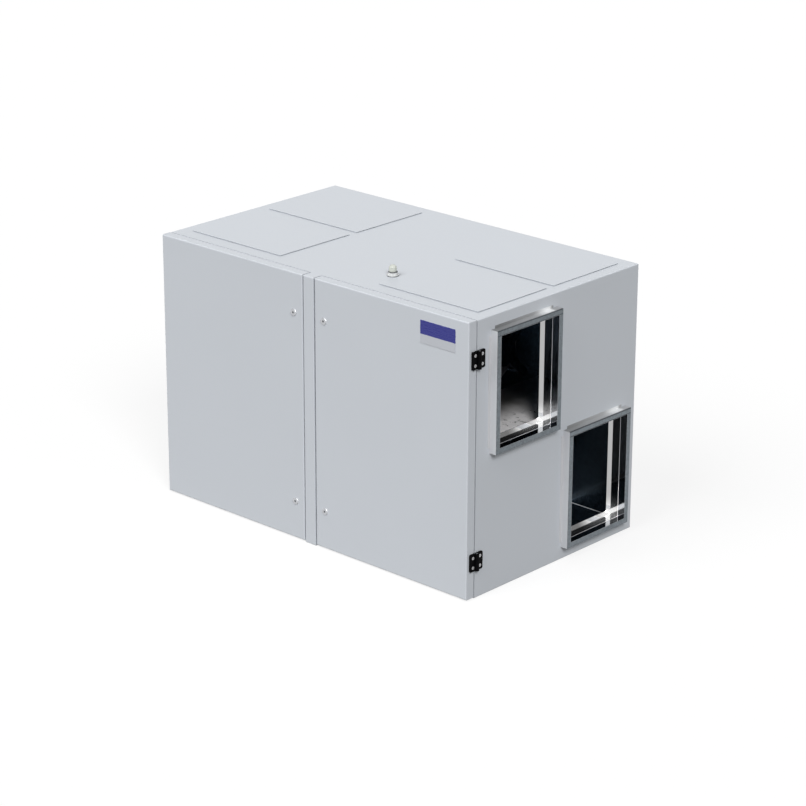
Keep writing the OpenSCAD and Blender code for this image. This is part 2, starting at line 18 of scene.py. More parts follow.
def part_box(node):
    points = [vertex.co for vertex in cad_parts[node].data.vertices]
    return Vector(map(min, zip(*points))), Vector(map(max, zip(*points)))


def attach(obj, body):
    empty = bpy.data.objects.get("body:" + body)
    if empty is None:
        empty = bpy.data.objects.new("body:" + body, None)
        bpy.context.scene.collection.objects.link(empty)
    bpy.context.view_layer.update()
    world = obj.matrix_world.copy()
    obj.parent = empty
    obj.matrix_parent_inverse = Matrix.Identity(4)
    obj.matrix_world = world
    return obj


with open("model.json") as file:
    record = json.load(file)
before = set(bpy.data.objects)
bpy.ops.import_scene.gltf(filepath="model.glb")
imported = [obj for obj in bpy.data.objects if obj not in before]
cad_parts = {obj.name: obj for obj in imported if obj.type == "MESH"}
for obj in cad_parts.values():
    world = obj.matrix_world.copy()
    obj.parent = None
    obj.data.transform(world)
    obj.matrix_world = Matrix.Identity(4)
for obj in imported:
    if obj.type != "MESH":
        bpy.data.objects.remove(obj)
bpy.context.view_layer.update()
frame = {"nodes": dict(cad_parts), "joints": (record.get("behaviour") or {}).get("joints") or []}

LOG = logging.getLogger("air_handling_unit")
MM = 0.001
WHITE = (1.0, 1.0, 1.0, 1.0)

Colour = Tuple[float, float, float]
Point = Tuple[float, float, float]
Pair = Tuple[float, float]
Edge = Tuple[int, int]


class Body(Enum):
    """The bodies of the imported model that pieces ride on."""

    CASING = "casing"
    RIGHT_DOOR = "right_door"
    LEFT_DOOR = "left_door"


class Slot(Enum):
    """The record's material slots that the added pieces take."""

    BRIGHT_TRIM = "bright_trim"
    LOCK_CHROME = "lock_chrome"
    EXCHANGER = "exchanger_aluminium"


class Side(Enum):
    """The two ends of the unit, with the sign of X there."""

    RIGHT = 1
    LEFT = -1

    @property
    def word(self) -> str:
        """The side's name as the nodes have it."""
        return self.name.lower()


class Level(Enum):
    """The two heights of duct openings and locks."""

    UPPER = "upper"
    LOWER = "lower"


class Row(Enum):
    """The two rows of roof covers."""

    FRONT = "front"
    BACK = "back"


class Leaf(Enum):
    """The two leaves of a hinge, with the sign of Y from its pin."""

    CASING = 1
    DOOR = -1


# Node trees


class Value:
    """A socket that carries a number. Python's operators on it add Math nodes."""

    def __init__(self, tree: "Tree", socket: bpy.types.NodeSocket) -> None:
        """Keeps the socket and the tree that it belongs to."""
        self.tree = tree
        self.socket = socket

    def __add__(self, other: "Number") -> "Value":
        """Adds a value or a number."""
        return self.tree.math("ADD", self, other)

    def __radd__(self, other: float) -> "Value":
        """Adds to a number."""
        return self.tree.math("ADD", other, self)

    def __sub__(self, other: "Number") -> "Value":
        """Takes away a value or a number."""
        return self.tree.math("SUBTRACT", self, other)

    def __rsub__(self, other: float) -> "Value":
        """Takes this value from a number."""
        return self.tree.math("SUBTRACT", other, self)

    def __mul__(self, other: "Number") -> "Value":
        """Multiplies by a value or a number."""
        return self.tree.math("MULTIPLY", self, other)

    def __rmul__(self, other: float) -> "Value":
        """Multiplies a number."""
        return self.tree.math("MULTIPLY", other, self)

    def __abs__(self) -> "Value":
        """The value without its sign."""
        return self.tree.math("ABSOLUTE", self)

    def __lt__(self, other: "Number") -> "Value":
        """One where this value is less, and nought elsewhere."""
        return self.tree.math("LESS_THAN", self, other)

    def __gt__(self, other: "Number") -> "Value":
        """One where this value is greater, and nought elsewhere."""
        return self.tree.math("GREATER_THAN", self, other)


Number = Union[Value, float]
Input = Union[Value, bpy.types.NodeSocket, float, int, Sequence[float]]


class Tree:
    """A node tree under construction: a material, the world or a recipe of geometry nodes."""

    def __init__(self, tree: bpy.types.NodeTree) -> None:
        """Empties the tree and keeps it."""
        tree.nodes.clear()
        self.tree = tree

    def node(
        self,
        kind: str,
        settings: Optional[Dict[str, object]] = None,
        inputs: Optional[Dict[Union[str, int], object]] = None,
    ) -> bpy.types.Node:
        """Adds a node, sets it up and feeds its sockets.

        Args:
            kind: Blender's type name of the node.
            settings: Properties of the node, set before its sockets.
            inputs: A number, a vector, a link or a list of links for each named or numbered socket.

        Returns:
            The new node.
        """
        made = self.tree.nodes.new(kind)
        for key, value in (settings or {}).items():
            setattr(made, key, value)
        for key, value in (inputs or {}).items():
            for part in value if isinstance(value, list) else [value]:
                self.feed(made.inputs[key], part)
        return made

    def feed(self, socket: bpy.types.NodeSocket, value: object) -> None:
        """Links a socket to another one, or sets it.

        Args:
            socket: The socket to feed.
            value: A value or a socket to link, or a plain number, vector or word.
        """
        if isinstance(value, Value):
            value = value.socket
        if isinstance(value, bpy.types.NodeSocket):
            self.tree.links.new(value, socket)
        else:
            socket.default_value = value

    def math(self, operation: str, first: Number, second: Optional[Number] = None) -> Value:
        """Adds a Math node.

        Args:
            operation: Blender's name of the operation.
            first: First operand.
            second: Second operand, where the operation has one.

        Returns:
            The node's result.
        """
        inputs = {0: first} if second is None else {0: first, 1: second}
        made = self.node("ShaderNodeMath", {"operation": operation}, inputs)
        return Value(self, made.outputs[0])


class Shader(Tree):
    """A material under construction, with the few node recipes that the finishes share."""

    def __init__(self, name: str) -> None:
        """Starts an empty material.

        Args:
            name: Name of the new material.
        """
        self.material = bpy.data.materials.new(name)
        self.material.use_nodes = True
        super().__init__(self.material.node_tree)
        self.place = self.node("ShaderNodeTexCoord").outputs["Object"]

    def axes(self) -> Tuple[Value, Value, Value]:
        """The object's X, Y and Z coordinates as three values."""
        made = self.node("ShaderNodeSeparateXYZ", inputs={0: self.place})
        return tuple(Value(self, socket) for socket in made.outputs)

    def noise(self, size: float, detail: float = 2.0, stretch: Point = (1.0, 1.0, 1.0)) -> Value:
        """Soft random mottling between nought and one.

        Args:
            size: Length of a patch in metres.
            detail: How many finer layers lie on it.
            stretch: Factor for each axis, for streaks.

        Returns:
            The mottling as a value.
        """
        place = self.node("ShaderNodeMapping", inputs={"Vector": self.place, "Scale": stretch})
        made = self.node(
            "ShaderNodeTexNoise",
            inputs={"Vector": place.outputs["Vector"], "Scale": 1.0 / size, "Detail": detail},
        )
        return Value(self, made.outputs[0])

    def crystals(self, size: float) -> Value:
        """A random level for each crystal of a zinc coat.

        Args:
            size: Width of a crystal in metres.

        Returns:
            The level, between nought and one.
        """
        made = self.node("ShaderNodeTexVoronoi", inputs={"Vector": self.place, "Scale": 1.0 / size})
        split = self.node("ShaderNodeSeparateColor", inputs={0: made.outputs["Color"]})
        return Value(self, split.outputs[0])

    def inside(self, middle: Pair, half: Pair) -> Value:
        """One inside a window along X, given by the middle and half the size in Y and Z."""
        _, y, z = self.axes()
        return (abs(y - middle[0]) < half[0]) * (abs(z - middle[1]) < half[1])

    def ramp(self, value: Value, start: float, end: float) -> Value:
        """A smooth step from nought to one.

        Args:
            value: What is followed.
            start: Where the step begins.
            end: Where it has reached one.

        Returns:
            The step.
        """
        made = self.node(
            "ShaderNodeMapRange",
            {"interpolation_type": "SMOOTHSTEP"},
            {"Value": value, "From Min": start, "From Max": end},
        )
        return Value(self, made.outputs["Result"])

    def mix(self, factor: Value, low: Input, high: Input) -> bpy.types.NodeSocket:
        """Mixes two colours.

        Args:
            factor: Share of the second colour.
            low: First colour, plain or linked.
            high: Second colour, plain or linked.

        Returns:
            The mixed colour.
        """
        made = self.node(
            "ShaderNodeMix",
            {"data_type": "RGBA"},
            {0: factor, 6: self.opaque(low), 7: self.opaque(high)},
        )
        return made.outputs[2]

    @staticmethod
    def opaque(colour: Input) -> Input:
        """A plain colour with its alpha added, or a link as it is."""
        return colour if isinstance(colour, bpy.types.NodeSocket) else (*colour, 1.0)

    def bump(self, height: Value, depth: float, strength: float) -> bpy.types.NodeSocket:
        """Turns a height into a surface normal.

        Args:
            height: Height between nought and one.
            depth: Length that a height of one stands for, in metres.
            strength: Share of the effect that is used.

        Returns:
            The normal.
        """
        made = self.node(
            "ShaderNodeBump", inputs={"Strength": strength, "Distance": depth, "Height": height}
        )
        return made.outputs["Normal"]

    def surface(self, inputs: Dict[str, Input]) -> None:
        """Ends the tree in a Principled shader with these values or links on its sockets."""
        shader = self.node("ShaderNodeBsdfPrincipled", inputs=inputs)
        self.node("ShaderNodeOutputMaterial", inputs={"Surface": shader.outputs[0]})


# Finishes


def scaled(colour: Colour, share: float) -> Colour:
    """A colour made lighter or darker by a share."""
    return tuple(min(1.0, part * share) for part in colour)


@dataclass(frozen=True)
class Finish:
    """A surface finish that is made once and then shared by the pieces that have it."""

    name: str
    tone: Colour

    @cache
    def material(self) -> bpy.types.Material:
        """Makes the material at the finish's first use.

        Returns:
            The material that all pieces of this finish share.
        """
        shader = Shader(self.name)
        self.draw(shader)
        return shader.material

    def draw(self, shader: Shader) -> None:
        """Draws the finish in an empty material."""
        raise NotImplementedError

    def shade(self, share: float) -> Colour:
        """The finish's tone made lighter or darker by a share."""
        return scaled(self.tone, share)

    def shades(self, spread: float) -> Tuple[Colour, Colour]:
        """The finish's tone made darker and made lighter by the same spread."""
        return self.shade(1 - spread), self.shade(1 + spread)


@dataclass(frozen=True)
class PowderCoat(Finish):
    """Satin powder coat with a fine orange-peel texture and barely uneven tone."""

    gloss: float = 0.44
    mottle: float = 350 * MM
    grain: float = 0.9 * MM
    peel: float = 1.6 * MM
    relief: Pair = (0.03 * MM, 0.35)
    spread: float = 0.025

    def draw(self, shader: Shader) -> None:
        """Draws the coat on broad mottling, fine grain and peel.

        Args:
            shader: The empty material to draw in.
        """
        broad = shader.noise(self.mottle, 3.0)
        grain = shader.noise(self.grain, 1.0)
        peel = shader.noise(self.peel, 1.0)
        shader.surface({
            "Base Color": shader.mix(broad * 0.75 + grain * 0.25, *self.shades(self.spread)),
            "Roughness": broad * 0.08 + (self.gloss - 0.04),
            "Normal": shader.bump(peel, *self.relief),
        })


@dataclass(frozen=True)
class ZincSheet(Finish):
    """Galvanised sheet with its crystals, and with rolling streaks along X."""

    polish: float = 0.32
    crystal: float = 11 * MM
    streak: float = 30 * MM
    rolling: Point = (0.08, 1.0, 1.0)
    relief: Pair = (0.05 * MM, 0.25)
    spread: float = 0.09

    def draw(self, shader: Shader) -> None:
        """Draws the sheet on crystals and streaks.

        Args:
            shader: The empty material to draw in.
        """
        crystal = shader.crystals(self.crystal)
        streak = shader.noise(self.streak, 3.0, self.rolling)
        shader.surface({
            "Base Color": shader.mix(crystal * 0.6 + streak * 0.4, *self.shades(self.spread)),
            "Metallic": 1.0,
            "Roughness": crystal * 0.10 + streak * 0.08 + (self.polish - 0.09),
            "Normal": shader.bump(streak, *self.relief),
        })


@dataclass(frozen=True)
class DeckZinc(ZincSheet):
    """Galvanised sheet with painted light near the openings, light and less metallic there and darker
    further in, and with dark specks near the openings.
    """

    # Painted light: near the openings the deck is painted light and less metallic, and further in it turns
    # darker.
    milk: float = 0.8
    cloud: float = 55 * MM
    drift: float = 60 * MM
    fade: Pair = (430 * MM, 610 * MM)
    # The darker tone further in, beyond the painted light.
    bare: Colour = (0.20, 0.19, 0.185)
    dirt: Colour = (0.12, 0.115, 0.11)
    dirt_share: float = 0.85
    speck: float = 17 * MM
    speck_level: Pair = (0.57, 0.66)
    speck_fade: Pair = (530 * MM, 600 * MM)

    def draw(self, shader: Shader) -> None:
        """Draws the sheet with the painted light and the dark specks in patches.

        Args:
            shader: The empty material to draw in.
        """
        x, _, _ = shader.axes()
        crystal = shader.crystals(self.crystal)
        cloud = shader.noise(self.cloud, 3.0)
        # Painted light near the openings, its edge wobbled by the cloud noise.
        bloom = shader.ramp(abs(x) + (cloud - 0.5) * self.drift, *self.fade)
        # Dark specks near the openings.
        specks = shader.ramp(shader.noise(self.speck, 3.0), *self.speck_level)
        specks = specks * shader.ramp(abs(x), *self.speck_fade)
        lit_tone = shader.mix(crystal, *self.shades(self.spread))
        lit_tone = shader.mix(specks * self.dirt_share, lit_tone, self.dirt)
        shader.surface({
            "Base Color": shader.mix(bloom, self.bare, lit_tone),
            "Metallic": 0.9 - bloom * self.milk,
            "Roughness": crystal * 0.10 + cloud * 0.12 + (self.polish - 0.11),
        })


@dataclass(frozen=True)
class FlangeZinc(Finish):
    """Folded duct profile: bright inner walls, and painted light and shade on the rest of the one zinc
    sheet: a darker face, lighter sides and feet, painted shade towards the front of the top and a painted
    highlight towards its back, and dark bands of painted shade along the edges of the top rail.
    """

    middle: Pair = (0.0, 0.0)
    half: Pair = (0.15, 0.2)
    front: float = 0.0
    rail: float = 20 * MM
    depth: float = 30 * MM
    foot_t: float = 3 * MM
    edge: float = 0.3 * MM
    crystal: float = 7 * MM
    streak: float = 40 * MM
    rolling: Point = (1.0, 0.15, 0.15)
    relief: Pair = (0.04 * MM, 0.2)
    spread: float = 0.32
    bare: float = 0.3
    # Painted light and shade: the sides, the feet and the top of the one sheet each take their own tone,
    # set by how light falls on them.
    upright: Colour = (0.64, 0.65, 0.67)
    foot: Colour = (0.60, 0.605, 0.62)
    wall: Colour = (0.62, 0.64, 0.67)
    level: Colour = (0.345, 0.35, 0.36)
    stain: Colour = (0.225, 0.23, 0.235)
    stain_end: Pair = (-150 * MM, 40 * MM)
    bloom: Colour = (0.80, 0.81, 0.82)
    bloom_start: Pair = (35 * MM, 120 * MM)
    bloom_end: Pair = (128 * MM, 145 * MM)
    drift: float = 30 * MM
    # Tone and widths of the dark bands of painted shade along the top rail's edges.
    fold: Colour = (0.04, 0.045, 0.05)
    outer_fold: float = 5 * MM
    inner_fold: float = 3 * MM

    def draw(self, shader: Shader) -> None:
        """Draws the profile with a mask for each of its zones.

        Args:
            shader: The empty material to draw in.
        """
        x, y, z = shader.axes()
        walls = shader.inside(self.middle, (self.half[0] + self.edge, self.half[1] + self.edge))
        face = (abs(x) > self.front - self.edge) * (1 - walls)
        rise = z - (self.middle[1] + self.half[1])
        over = rise > self.rail - self.edge
        under = self.middle[1] - z > self.half[1] + self.rail - self.edge
        feet = (abs(x) < self.front - self.depth + self.foot_t) * (1 - over)
        crystal = shader.crystals(self.crystal)
        streak = shader.noise(self.streak, 3.0, self.rolling)
        along = y - self.middle[0] + (streak - 0.5) * self.drift
        # Painted highlight on the top towards the back of each flange, and painted shade on the top towards
        # its front.
        highlight_mask = over * shader.ramp(along, *self.bloom_start) * (1 - shader.ramp(along, *self.bloom_end))
        level = shader.mix(shader.ramp(along, *self.stain_end), self.stain, self.level)
        level = shader.mix(highlight_mask, level, self.bloom)
        # Painted shade: the face is darker than the rest of the sheet.
        dull = shader.mix(crystal * 0.5 + streak * 0.5, *self.shades(self.spread))
        sides = shader.mix(over + under, self.upright, level)
        outside = shader.mix(face, shader.mix(feet, sides, self.foot), dull)
        # Painted shade: dark bands along the inner and outer edges of the top rail's face and along the
        # front edge of its top.
        rim_shade_mask = face * (rise > self.rail - self.inner_fold)
        root_shade_mask = face * (abs(rise - self.inner_fold / 2) < self.inner_fold / 2)
        fold_shade_mask = over * (abs(x) > self.front - self.outer_fold) * (1 - rim_shade_mask) + rim_shade_mask + root_shade_mask
        outside = shader.mix(fold_shade_mask * (0.6 + streak * 0.4), outside, self.fold)
        rough = crystal * 0.05 + streak * 0.08 + 0.30 + face * 0.10
        shader.surface({
            "Base Color": shader.mix(walls, outside, self.wall),
            "Metallic": (walls + face) * (1 - self.bare) + self.bare,
            "Roughness": walls * 0.07 + (1 - walls) * rough,
            "Normal": shader.bump(streak, *self.relief),
        })


@dataclass(frozen=True)
class BrightZinc(Finish):
    """Bright zinc with faint handling haze, almost a mirror."""

    polish: float = 0.07
    haze: float = 60 * MM
    spread: float = 0.04

    def draw(self, shader: Shader) -> None:
        """Draws the mirror with a little haze in patches.

        Args:
            shader: The empty material to draw in.
        """
        haze = shader.noise(self.haze, 3.0)
        shader.surface({
            "Base Color": shader.mix(haze, *self.shades(self.spread)),
            "Metallic": 1.0,
            "Roughness": haze * 0.06 + (self.polish - 0.03),
        })


@dataclass(frozen=True)
class LiningZinc(BrightZinc):
    """Bright zinc of the linings with painted reflection and shade: bright in the low corner towards the
    back, dark along the rest of the bottom, dimmer above.
    """

    upper: Pair = (0.0, 0.0)
    lower: Pair = (0.0, 0.0)
    # Tones of the painted reflection and shade: dimmer above, dark along the bottom.
    hazy: Colour = (0.46, 0.46, 0.46)
    dull: Colour = (0.17, 0.17, 0.17)
    across: Pair = (-35 * MM, 80 * MM)
    down: Pair = (110 * MM, 190 * MM)
    drift: float = 40 * MM
    milk: float = 0.12

    def draw(self, shader: Shader) -> None:
        """Draws the linings of both openings with the painted reflection and shade, its edge wobbled by the
        haze noise.

        Args:
            shader: The empty material to draw in.
        """
        _, y, z = shader.axes()
        raised = z > (self.upper[1] + self.lower[1]) / 2
        away = y - self.lower[0] - raised * (self.upper[0] - self.lower[0])
        below = self.lower[1] + raised * (self.upper[1] - self.lower[1]) - z
        haze = shader.noise(self.haze, 3.0)
        low = shader.ramp(below, *self.down)
        # Painted reflection: bright in the low corner towards the back.
        painted_bright_mask = shader.ramp(away + (haze - 0.5) * self.drift, *self.across) * low
        shader.surface({
            "Base Color": shader.mix(painted_bright_mask, shader.mix(low, self.hazy, self.dull), self.tone),
            "Metallic": 1 - low * self.milk,
            "Roughness": haze * 0.06 + (self.polish - 0.03),
        })


@dataclass(frozen=True)
class SatinChrome(Finish):
    """Satin chrome on die-cast zinc, with fine turning marks."""

    polish: float = 0.24
    mark: float = 0.7 * MM
    turning: Point = (1.0, 0.25, 1.0)
    relief: Pair = (0.02 * MM, 0.3)

    def draw(self, shader: Shader) -> None:
        """Draws the chrome on fine streaks.

        Args:
            shader: The empty material to draw in.
        """
        marks = shader.noise(self.mark, 2.0, self.turning)
        shader.surface({
            "Base Color": shader.mix(marks, self.shade(0.94), self.shade(1.05)),
            "Metallic": 1.0,
            "Roughness": marks * 0.12 + (self.polish - 0.06),
            "Normal": shader.bump(marks, *self.relief),
        })


@dataclass(frozen=True)
class MouldedPlastic(Finish):
    """Moulded plastic with a fine spark-eroded grain."""

    gloss: float = 0.48
    grain: float = 0.6 * MM
    flow: float = 18 * MM
    relief: Pair = (0.05 * MM, 0.5)
    spread: float = 0.10
    shine: float = 0.5

    def draw(self, shader: Shader) -> None:
        """Draws the plastic on its grain and on slow flow marks.

        Args:
            shader: The empty material to draw in.
        """
        grain = shader.noise(self.grain, 1.0)
        flow = shader.noise(self.flow, 2.0)
        shader.surface({
            "Base Color": shader.mix(flow, *self.shades(self.spread)),
            "Roughness": grain * 0.14 + flow * 0.06 + (self.gloss - 0.10),
            "Specular IOR Level": self.shine,
            "Normal": shader.bump(grain, *self.relief),
        })


@dataclass(frozen=True)
class SealedPlastic(MouldedPlastic):
    """Moulded plastic with a dark band at its foot and at its top."""

    spread: float = 0.06
    rubber: Colour = (0.15, 0.155, 0.16)
    foot: float = 0.0
    top: float = 0.0
    ring: float = 3 * MM

    def draw(self, shader: Shader) -> None:
        """Draws the plastic and the dark bands with a mask for their heights.

        Args:
            shader: The empty material to draw in.
        """
        _, _, z = shader.axes()
        # Dark bands at the foot and at the top of the body.
        dark_band_mask = (z < self.foot + self.ring) + (z > self.top - self.ring)
        grain = shader.noise(self.grain, 1.0)
        plastic = shader.mix(grain, *self.shades(self.spread))
        shader.surface({
            "Base Color": shader.mix(dark_band_mask, plastic, self.rubber),
            "Roughness": grain * 0.14 + dark_band_mask * 0.2 + (self.gloss - 0.07),
            "Specular IOR Level": self.shine,
            "Normal": shader.bump(grain, *self.relief),
        })


@dataclass(frozen=True)
class FoamRubber(Finish):
    """Dark foam rubber with small open cells."""

    cell: float = 1.1 * MM
    relief: Pair = (0.2 * MM, 0.6)
    spread: float = 0.3

    def draw(self, shader: Shader) -> None:
        """Draws the foam on its cells.

        Args:
            shader: The empty material to draw in.
        """
        cells = shader.crystals(self.cell)
        shader.surface({
            "Base Color": shader.mix(cells, *self.shades(self.spread)),
            "Roughness": cells * 0.1 + 0.8,
            "Normal": shader.bump(cells, *self.relief),
        })


@dataclass(frozen=True)
class PlateStack(Finish):
    """Rolled aluminium of the exchanger, with faint lines along the roll."""

    line: float = 3 * MM
    rolling: Point = (1.0, 1.0, 0.06)
    relief: Pair = (0.05 * MM, 0.3)
    stain: float = 90 * MM

    def draw(self, shader: Shader) -> None:
        """Draws the aluminium on roll lines and stains.

        Args:
            shader: The empty material to draw in.
        """
        lines = shader.noise(self.line, 2.0, self.rolling)
        stain = shader.noise(self.stain, 3.0)
        shader.surface({
            "Base Color": shader.mix(lines * 0.5 + stain * 0.5, self.shade(0.88), self.shade(1.10)),
            "Metallic": 1.0,
            "Roughness": lines * 0.12 + 0.30,
            "Normal": shader.bump(lines, *self.relief),
        })


@dataclass(frozen=True)
class FilterFibre(Finish):
    """Grey fibre in the window of a darker card frame."""

    middle: Pair = (0.0, 0.0)
    half: Pair = (0.3, 0.2)
    fibre: float = 0.8 * MM
    relief: Pair = (0.3 * MM, 0.6)
    dust: float = 70 * MM
    card: Colour = (0.16, 0.16, 0.155)

    def draw(self, shader: Shader) -> None:
        """Draws fibre and card with a mask for the window.

        Args:
            shader: The empty material to draw in.
        """
        window = shader.inside(self.middle, self.half)
        fibre = shader.noise(self.fibre, 4.0)
        dust = shader.noise(self.dust, 3.0)
        medium = shader.mix(fibre * 0.6 + dust * 0.4, self.shade(0.86), self.shade(1.08))
        board = shader.mix(fibre, scaled(self.card, 0.9), self.card)
        shader.surface({
            "Base Color": shader.mix(window, board, medium),
            "Roughness": fibre * 0.1 + 0.82,
            "Normal": shader.bump(fibre, *self.relief),
        })


@dataclass(frozen=True)
class TwoTonePlate(Finish):
    """A blank plate: a glossy coloured field over a silver strip."""

    strip: Colour = (0.50, 0.52, 0.56)
    split: float = 0.0
    brush: float = 1.2 * MM
    brushed: Point = (0.05, 1.0, 1.0)
    spread: float = 0.05

    def draw(self, shader: Shader) -> None:
        """Draws the plate with a mask for the coloured field.

        Args:
            shader: The empty material to draw in.
        """
        _, _, z = shader.axes()
        upper = z > self.split
        brush = shader.noise(self.brush, 2.0, self.brushed)
        silver = shader.mix(brush, scaled(self.strip, 0.9), self.strip)
        coloured = shader.mix(brush, *self.shades(self.spread))
        shader.surface({
            "Base Color": shader.mix(upper, silver, coloured),
            "Metallic": (1 - upper) * 0.35,
            "Roughness": brush * 0.08 + upper * -0.06 + 0.30,
        })


# Meshes


@dataclass
class Loose:
    """Points, edges and faces that a recipe of geometry nodes builds on."""

    points: List[Point] = field(default_factory=list)
    edges: List[Edge] = field(default_factory=list)
    faces: List[List[int]] = field(default_factory=list)
    facing: List[Point] = field(default_factory=list)

    def path(self, corners: Sequence[Point], closed: bool = False) -> None:
        """Adds a line of edges.

        Args:
            corners: The line's corners in order.
            closed: Whether its end joins its start.
        """
        start, count = len(self.points), len(corners)
        self.points.extend(corners)
        steps = range(count if closed else count - 1)
        self.edges.extend((start + i, start + (i + 1) % count) for i in steps)

    def spot(self, point: Point, facing: Point) -> None:
        """Adds a place for a fastener, with the way that its head looks."""
        self.points.append(point)
        self.facing.append(facing)

    def object(self, name: str) -> bpy.types.Object:
        """Makes the points, edges and faces an object in the scene.

        Args:
            name: Name of the piece.

        Returns:
            The object, at the origin.
        """
        mesh = bpy.data.meshes.new(name)
        mesh.from_pydata(self.points, self.edges, self.faces)
        if self.facing:
            facing = mesh.attributes.new("facing", "FLOAT_VECTOR", "POINT")
            facing.data.foreach_set("vector", [part for way in self.facing for part in way])
        made = bpy.data.objects.new(name, mesh)
        bpy.context.scene.collection.objects.link(made)
        return made


class NodeRecipe(Tree):
    """A tree of geometry nodes with named inputs, which turns loose points into a finished mesh."""

    def __init__(self, name: str, sizes: Iterable[str], counts: Iterable[str] = ()) -> None:
        """Starts a tree.

        Args:
            name: Name of the tree.
            sizes: Names of the inputs that are lengths.
            counts: Names of the inputs that are whole numbers.
        """
        super().__init__(bpy.data.node_groups.new(name, "GeometryNodeTree"))
        face = self.tree.interface
        face.new_socket("Geometry", in_out="INPUT", socket_type="NodeSocketGeometry")
        self.names: Dict[str, str] = {}
        kinds = {"NodeSocketFloat": sizes, "NodeSocketInt": counts, "NodeSocketMaterial": ["Finish"]}
        for kind, words in kinds.items():
            for word in words:
                made = face.new_socket(word, in_out="INPUT", socket_type=kind)
                self.names[word] = made.identifier
        face.new_socket("Geometry", in_out="OUTPUT", socket_type="NodeSocketGeometry")
        self.entry = self.node("NodeGroupInput")
        self.exit = self.node("NodeGroupOutput")

    def input(self, name: str) -> Value:
        """The tree's own input of that name."""
        return Value(self, self.entry.outputs[name])

    def vector(self, **parts: Number) -> bpy.types.NodeSocket:
        """A vector from the parts X, Y and Z that are given."""
        return self.node("ShaderNodeCombineXYZ", inputs=parts).outputs[0]

    def close(self, geometry: bpy.types.NodeSocket) -> None:
        """Ends the tree: instances become real meshes and take the finish.

        Args:
            geometry: What the tree has made.
        """
        real = self.node("GeometryNodeRealizeInstances", inputs={0: geometry})
        dressed = self.node(
            "GeometryNodeSetMaterial",
            inputs={"Geometry": real.outputs[0], "Material": self.input("Finish")},
        )
        self.feed(self.exit.inputs[0], dressed.outputs[0])

    def run(self, base: bpy.types.Object, finish: Finish, **values: Union[float, int]) -> None:
        """Runs the tree on loose points and leaves the object with the result as a plain mesh.

        Args:
            base: The object with the loose points.
            finish: Finish of the result.
            values: A value for each named input, with _ for a space.
        """
        modifier = base.modifiers.new(self.tree.name, "NODES")
        modifier.node_group = self.tree
        modifier[self.names["Finish"]] = finish.material()
        for word, value in values.items():
            modifier[self.names[word.replace("_", " ")]] = value
        evaluated = base.evaluated_get(bpy.context.evaluated_depsgraph_get())
        mesh = bpy.data.meshes.new_from_object(evaluated)
        base.modifiers.remove(modifier)
        base.data = mesh


class ButtonScrews(NodeRecipe):
    """Button-head screws with a hexagon socket, one on each loose point along its facing."""

    SEGMENTS = 24
    SOCKET_SIDES = 6

    def __init__(self) -> None:
        """Builds the tree: a ball cut to a cap, a socket cut from it, and a cap on each point."""
        super().__init__(
            "button_screws", ["Head Radius", "Head Height", "Ball Radius", "Socket Radius", "Socket Depth"]
        )
        height, radius = self.input("Head Height"), self.input("Ball Radius")
        ball = self.node(
            "GeometryNodeMeshUVSphere",
            inputs={"Segments": self.SEGMENTS, "Rings": self.SEGMENTS, "Radius": radius},
        )
        ball = self.moved(ball.outputs[0], height - radius)
        blank = self.moved(self.rod(self.SEGMENTS, self.input("Head Radius"), height), height * 0.5)
        cap = self.node("GeometryNodeMeshBoolean", {"operation": "INTERSECT"}, {1: [ball, blank]})
        socket = self.rod(self.SOCKET_SIDES, self.input("Socket Radius"), self.input("Socket Depth"))
        head = self.node(
            "GeometryNodeMeshBoolean",
            {"operation": "DIFFERENCE"},
            {0: cap.outputs[0], 1: self.moved(socket, height)},
        )
        facing = self.node(
            "GeometryNodeInputNamedAttribute", {"data_type": "FLOAT_VECTOR"}, {"Name": "facing"}
        )
        turn = self.node(
            "FunctionNodeAlignRotationToVector", {"axis": "Z"}, {"Vector": facing.outputs["Attribute"]}
        )
        placed = self.node(
            "GeometryNodeInstanceOnPoints",
            inputs={
                "Points": self.input("Geometry"),
                "Instance": head.outputs[0],
                "Rotation": turn.outputs[0],
            },
        )
        self.close(placed.outputs[0])

    def rod(self, sides: int, radius: Value, depth: Value) -> bpy.types.NodeSocket:
        """A round or many-sided rod about the origin."""
        inputs = {"Vertices": sides, "Radius": radius, "Depth": depth}
        return self.node("GeometryNodeMeshCylinder", inputs=inputs).outputs["Mesh"]

    def moved(self, geometry: bpy.types.NodeSocket, height: Value) -> bpy.types.NodeSocket:
        """The geometry moved along Z."""
        inputs = {"Geometry": geometry, "Translation": self.vector(Z=height)}
        return self.node("GeometryNodeTransform", inputs=inputs).outputs[0]


class PlateRow(NodeRecipe):
    """A row of thin plates along Y, each with the outline of the loose face."""

    def __init__(self) -> None:
        """Builds the tree: the face gets its thickness, and a copy stands on each point of a line."""
        super().__init__("plate_row", ["Pitch", "Thickness"], ["Plates"])
        outline = self.input("Geometry")
        raised = self.node(
            "GeometryNodeExtrudeMesh",
            {"mode": "FACES"},
            {"Mesh": outline, "Offset Scale": self.input("Thickness"), "Individual": False},
        )
        under = self.node("GeometryNodeFlipFaces", inputs={0: outline})
        both = self.node("GeometryNodeJoinGeometry", inputs={0: [raised.outputs[0], under.outputs[0]]})
        plate = self.node("GeometryNodeMergeByDistance", inputs={"Geometry": both.outputs[0]})
        line = self.node(
            "GeometryNodeMeshLine",
            inputs={"Count": self.input("Plates"), "Offset": self.vector(Y=self.input("Pitch"))},
        )
        placed = self.node(
            "GeometryNodeInstanceOnPoints",
            inputs={"Points": line.outputs[0], "Instance": plate.outputs[0]},
        )
        self.close(placed.outputs[0])


